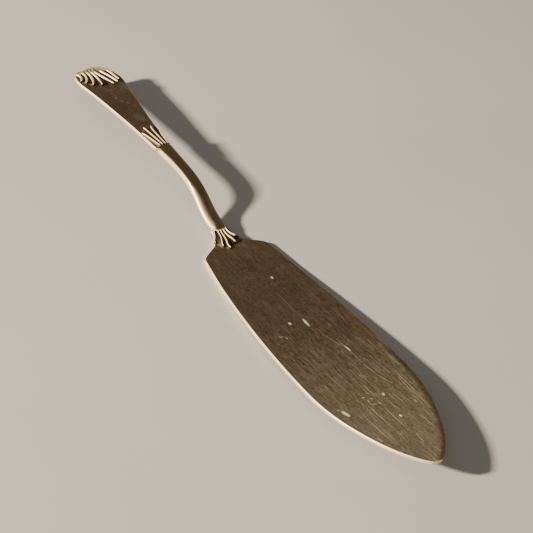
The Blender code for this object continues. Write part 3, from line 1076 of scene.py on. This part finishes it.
def shell_line(k, t):
    """S and y of a point of the shell: k counts ribs across, t runs from rim to end."""
    a, b, c, d = (3.0 * t - place for place in range(4))
    shares = (-b * c * d / 6.0, a * c * d / 2.0, -a * b * d / 2.0, a * b * c / 6.0)
    s = sum(share * shell_places[2 * i](k) for i, share in enumerate(shares))
    y = sum(share * shell_places[2 * i + 1](k) for i, share in enumerate(shares))
    return s, y


def shell_crest(t, w):
    """Height over the grip's middle of the top of a rib."""
    return 2.12 - 0.42 * t - 0.35 * w * w * (1.0 - t)


class SERVER_OT_shell(bpy.types.Operator):
    """Add the shell: fluted casting over the grip's end, its ribs and its rolled rim"""

    bl_idname = "cake_server.add_shell"
    bl_label = "Add Shell"

    def execute(self, context):
        settings = context.scene.cake_server
        sizes = settings.shell
        grip_top = 0.5 * settings.handle.grip_thickness / MM
        rib = sizes.rib / MM
        reach = 0.5 * (sizes.ribs - 1)
        u, v = cast_grid(168, 60)
        k = u * (reach + SHELL_MARGIN)
        crest = ridge(k)
        s, y = shell_line(k, v)
        s = scalloped(s, crest, SHELL_SCALLOP, v)
        front = np.clip(1.0 - v / 0.08, 0.0, 1.0)
        rim_s = S_END + 0.65 + SHELL_RIM_BOW * (y / SHELL_RIM_HALF) ** 2
        s = s + (np.minimum(rim_s, s) - s) * front
        floor = grip_top + GROUND + sizes.flute / MM * crest ** 2.5
        lip = shell_crest(v, k / reach) * front + floor * (1.0 - front)
        height = softened(np.maximum(floor, lip), grip_top + 0.05, u, v, 8.0, 7.0, 0.55)
        under = np.where(s < GRIP_START_S - 0.3, -0.75, grip_top + JOINT_GAP - 0.1)
        under = np.minimum(under, height - 0.05)
        hollow = (1.0 - crest ** 0.7) * (1.0 - front) * smooth_step((v - 0.04) / 0.1)
        add_casting("shell", "terminal_shell", at_handle(s, y, height),
                    at_handle(s, y, under), hollow, front, settings.finish)
        t = np.linspace(0.0, 1.0, RIB_POINTS)
        paths = []
        for i in range(sizes.ribs):
            k = i - reach
            s, y = shell_line(k, t)
            radius = rib_radius(t, rib, 1.0, 0.8)
            paths.append((at_handle(s, y, shell_crest(t, k / reach) - radius), radius))
        w = np.sin(np.linspace(-1.0, 1.0, 70) * 1.35) / math.sin(1.35)
        rim = sizes.rim / MM * (1.0 - 0.42 * w ** 4)
        s = S_END + 0.04 + rim + SHELL_RIM_BOW * w ** 2 * (1.0 + 0.55 * w ** 6)
        top = 2.3 - 0.8 * w ** 2
        taper = np.sqrt(np.clip((1.0 - np.abs(w)) / 0.06, 0.15, 1.0))
        paths.append((at_handle(s, SHELL_RIM_HALF * w * 0.9, top - rim), rim * taper))
        add_ribs("shell", paths, settings.finish)
        return {"FINISHED"}


def grip_fan_line(k, t):
    """S and y of a point of the fan on the grip: t runs from the bar outwards."""
    angle = math.radians(GRIP_FAN_DEGREES) * k
    start, longest = GRIP_FAN_REACH
    r = start + (longest - 1.25 * k ** 2 - start) * t
    flare = 1.0 + 0.1 * t ** 4
    return GRIP_FAN_APEX - r * np.cos(angle), -r * np.sin(angle) * flare


class SERVER_OT_grip_fan(bpy.types.Operator):
    """Add the fan on the grip: ribs that gather where the bar begins"""

    bl_idname = "cake_server.add_grip_fan"
    bl_label = "Add Grip Fan"

    def execute(self, context):
        settings = context.scene.cake_server
        sizes = settings.fan
        grip_top = 0.5 * settings.handle.grip_thickness / MM
        rib = sizes.rib / MM
        half = 0.5 * sizes.grip_ribs
        u, v = cast_grid(96, 48)
        k = u * (half - 0.28)
        s, y = grip_fan_line(k, v)
        crest = ridge(k - half + 0.5)
        s = scalloped(s, crest, -GRIP_FAN_SCALLOP, v, 0.6)
        dome = 0.35 * (1.0 - u * u) * (1.0 - v)
        height = softened(grip_top + GROUND + dome + 0.2 * crest ** 3, grip_top + 0.03,
                          u, v, 3.0, 11.0)
        add_casting("grip_fan", "grip_fan", at_handle(s, y, height),
                    at_handle(s, y, grip_top - 0.1), 1.0 - crest ** 0.7,
                    1.0 * (u < -0.93), settings.finish)
        t = np.linspace(-0.04, 1.0, RIB_POINTS)
        paths = []
        for i in range(sizes.grip_ribs):
            k = i - half + 0.5
            s, y = grip_fan_line(k, t)
            q = np.clip(t, 0.0, 1.0)
            radius = rib_radius(q, rib, 0.6, 1.0)
            top = grip_top + 0.85 - 0.12 * q + 0.3 * (1.0 - q) * (1.0 - (k / half) ** 2)
            hook = -0.25 * np.sign(k) * smooth_step((q - 0.88) / 0.12)
            paths.append((at_handle(s, y + hook, top - radius), radius))
        add_ribs("grip_fan", paths, settings.finish)
        return {"FINISHED"}


def blade_fan_line(k, t):
    """S and y of a point of the fan on the blade: t runs from the bar outwards."""
    start_s, start_y, end_s, end_y = (value(k) for value in blade_fan_ends)
    hook = 0.45 * smooth_step((0.6 - k) / 0.8)
    bend = -0.3 * np.clip(k, -1.0, 1.0) * np.sin(np.pi * t)
    y = start_y + (end_y - hook - start_y) * t ** 1.5 + bend
    return start_s + (end_s - start_s) * t, y + hook * smooth_step((t - 0.78) / 0.22)


def blade_fan_ground(s, y, blade):
    """Height of the fan's ground: over the stem's foot, falling to the blade."""
    stop, half, thick = FOOT
    dome = blade + 2.0 * JOINT_GAP + thick + GROUND + 0.35 * smooth_step((91.0 - s) / 3.0)
    side = smooth_step((np.abs(y) - half - 0.2) / 1.8)
    front = smooth_step((s - stop - 0.2) / 3.0)
    return dome + (blade + 0.3 - dome) * np.maximum(side, front)


class SERVER_OT_blade_fan(bpy.types.Operator):
    """Add the fan over the blade's root: ribs that spread from the bar's end"""

    bl_idname = "cake_server.add_blade_fan"
    bl_label = "Add Blade Fan"

    def execute(self, context):
        settings = context.scene.cake_server
        sizes = settings.fan
        blade = settings.blade.thickness / MM
        rib = sizes.rib / MM
        u, v = cast_grid(132, 56)
        first, last = BLADE_FAN_LINES[0][0], BLADE_FAN_LINES[-1][0]
        k = first + (last - first) * 0.5 * (u + 1.0)
        s, y = blade_fan_line(k, v)
        crest = ridge(k)
        s = scalloped(s, crest, BLADE_FAN_SCALLOP, v)
        height = softened(blade_fan_ground(s, y, blade) + 0.2 * crest ** 3, blade + 0.03,
                          u, v, 5.0, 8.0)
        add_casting("blade_fan", "blade_fan", at(s, y, height), at(s, y, blade - 0.05),
                    1.0 - crest ** 0.7, 1.0 * (u < -0.95), settings.finish)
        t = np.linspace(-0.05, 1.0, RIB_POINTS)
        paths = []
        for k in range(-2, 3):
            q = np.clip(t, 0.0, 1.0)
            s, y = blade_fan_line(float(k), q)
            s = s + np.minimum(t, 0.0) * 9.0
            radius = rib_radius(q, rib * (0.9 + 0.1 * k), 0.8, 1.0)
            top = blade_fan_ground(s, y, blade) + 0.6
            paths.append((at(s, y, top - radius), radius))
        y = np.linspace(-2.75, 2.75, RIB_POINTS)
        s = STEM_STOP_S + 0.25 - STEM_STOP_BOW * (y / 2.7) ** 2
        paths.append((at(s, y, 2.9 - 0.9 * (y / 2.75) ** 2), 0.24))
        add_ribs("blade_fan", paths, settings.finish)
        return {"FINISHED"}


class SERVER_OT_solder(bpy.types.Operator):
    """Add the thin solder along the scalloped edges of the castings"""

    bl_idname = "cake_server.add_solder"
    bl_label = "Add Solder"

    def execute(self, context):
        settings = context.scene.cake_server
        radius = settings.fan.solder / MM
        reach = 0.5 * (settings.shell.ribs - 1) + 0.35
        k = np.linspace(-reach, reach, 200)
        s, y = shell_line(k, 1.0)
        on_grip = 0.5 * settings.handle.grip_thickness / MM + SEAM_HEIGHT
        paths = [(at_handle(scalloped(s, ridge(k), SHELL_SCALLOP), y, on_grip), 1.0)]
        half = 0.5 * settings.fan.grip_ribs
        k = np.linspace(-half + 0.25, half - 0.25, 120)
        s, y = grip_fan_line(k, 1.0)
        s = scalloped(s, ridge(k - half + 0.5), -GRIP_FAN_SCALLOP)
        paths.append((at_handle(s, y, on_grip), 1.0))
        k = np.linspace(BLADE_FAN_LINES[0][0], BLADE_FAN_LINES[-1][0], 160)
        s, y = blade_fan_line(k, 1.0)
        on_blade = settings.blade.thickness / MM + SEAM_HEIGHT
        paths.append((at(scalloped(s, ridge(k), BLADE_FAN_SCALLOP), y, on_blade), 1.0))
        finish = once("solder dull", solder_finish, settings.finish)
        seams = swept_beads("solder_seams", paths, finish, radius, 10)
        dress(seams)
        return {"FINISHED"}


# ---- studio


def floor_finish(values):
    """Pale matt card with the faintest unevenness."""
    made = bpy.data.materials.new("floor card")
    made.use_nodes = True
    wiring = Wiring(made.node_tree)
    shader = made.node_tree.nodes["Principled BSDF"]
    place = wiring.add("ShaderNodeTexCoord")
    cloud = wiring.noise(place.outputs["Object"], 9.0, 3.0, 0.5)
    paler = tuple(min(1.0, 1.06 * value) for value in values)
    shade = wiring.mix(wiring.ramp(cloud, 0.3, 0.7), colour(values), colour(paler))
    wiring.feed(shader.inputs["Base Color"], shade)
    shader.inputs["Roughness"].default_value = 0.9
    shader.inputs["Specular IOR Level"].default_value = 0.1
    return made


def add_camera(studio):
    """A long lens from the blade's side, tipped a little."""
    azimuth, elevation, roll = np.radians(VIEW_DEGREES)
    back = np.array([np.cos(azimuth) * np.cos(elevation),
                     np.sin(azimuth) * np.cos(elevation), np.sin(elevation)])
    right = np.cross(-back, [0.0, 0.0, 1.0])
    right /= np.linalg.norm(right)
    up = np.cross(right, -back)
    across = math.cos(roll) * right + math.sin(roll) * up
    above = math.cos(roll) * up - math.sin(roll) * right
    target = at(*VIEW_AIM)
    place = target + back * studio.distance
    data = bpy.data.cameras.new("camera")
    data.sensor_width = 36.0
    data.lens = studio.lens
    data.clip_end = 20.0
    camera = new_object("camera", data)
    rows = [[across[i], above[i], back[i], place[i]] for i in range(3)]
    camera.matrix_world = Matrix(rows + [[0.0, 0.0, 0.0, 1.0]])
    bpy.context.scene.camera = camera


def add_key_light(studio):
    """A square soft light, low and warm, turned to the server."""
    data = bpy.data.lights.new("key", "AREA")
    data.size = studio.key_size
    data.energy = studio.key_power
    data.color = KEY_COLOUR
    lamp = new_object("key", data)
    direction = Vector(KEY_TOWARDS).normalized()
    turn = direction.to_track_quat("Z", "Y").to_matrix().to_4x4()
    lamp.matrix_world = Matrix.Translation(direction * KEY_DISTANCE) @ turn


class SERVER_OT_stage(bpy.types.Operator):
    """Add the floor, the lights and the camera"""

    bl_idname = "cake_server.add_stage"
    bl_label = "Add Stage"

    def execute(self, context):
        studio = context.scene.cake_server.studio
        add_camera(studio)
        bpy.ops.mesh.primitive_plane_add(size=FLOOR_SIDE)
        floor = context.object
        floor.name = "floor"
        floor.data.materials.append(floor_finish(studio.floor))
        add_key_light(studio)
        world = bpy.data.worlds.new("room")
        world.use_nodes = True
        background = world.node_tree.nodes["Background"]
        background.inputs["Color"].default_value = ROOM_COLOUR
        background.inputs["Strength"].default_value = studio.room
        context.scene.world = world
        return {"FINISHED"}


# ---- panel


class SERVER_PT_panel(bpy.types.Panel):
    """The server's settings and its buttons"""

    bl_idname = "SERVER_PT_panel"
    bl_label = "Cake Server"
    bl_space_type = "VIEW_3D"
    bl_region_type = "UI"
    bl_category = "Cake Server"

    def draw(self, context):
        layout = self.layout
        settings = context.scene.cake_server
        for title in ("finish", "blade", "handle", "shell", "fan", "studio"):
            box = layout.box()
            box.label(text=title.title())
            group = getattr(settings, title)
            for name in group.bl_rna.properties.keys():
                if name not in {"rna_type", "name"}:
                    box.prop(group, name)
        for operator in OPERATORS:
            layout.operator(operator.bl_idname)


OPERATORS = (SERVER_OT_blade, SERVER_OT_stem, SERVER_OT_grip, SERVER_OT_shell,
             SERVER_OT_grip_fan, SERVER_OT_blade_fan, SERVER_OT_solder, SERVER_OT_stage)
CLASSES = (SERVER_PG_finish, SERVER_PG_blade, SERVER_PG_handle, SERVER_PG_shell, SERVER_PG_fan,
           SERVER_PG_studio, SERVER_PG_all, *OPERATORS, SERVER_PT_panel)


def register():
    for made in CLASSES:
        bpy.utils.register_class(made)
    bpy.types.Scene.cake_server = bpy.props.PointerProperty(type=SERVER_PG_all)


def unregister():
    del bpy.types.Scene.cake_server
    for made in reversed(CLASSES):
        bpy.utils.unregister_class(made)


def main():
    register()
    for operator in OPERATORS:
        getattr(bpy.ops.cake_server, operator.bl_idname.partition(".")[2])()


if __name__ == "__main__":
    main()
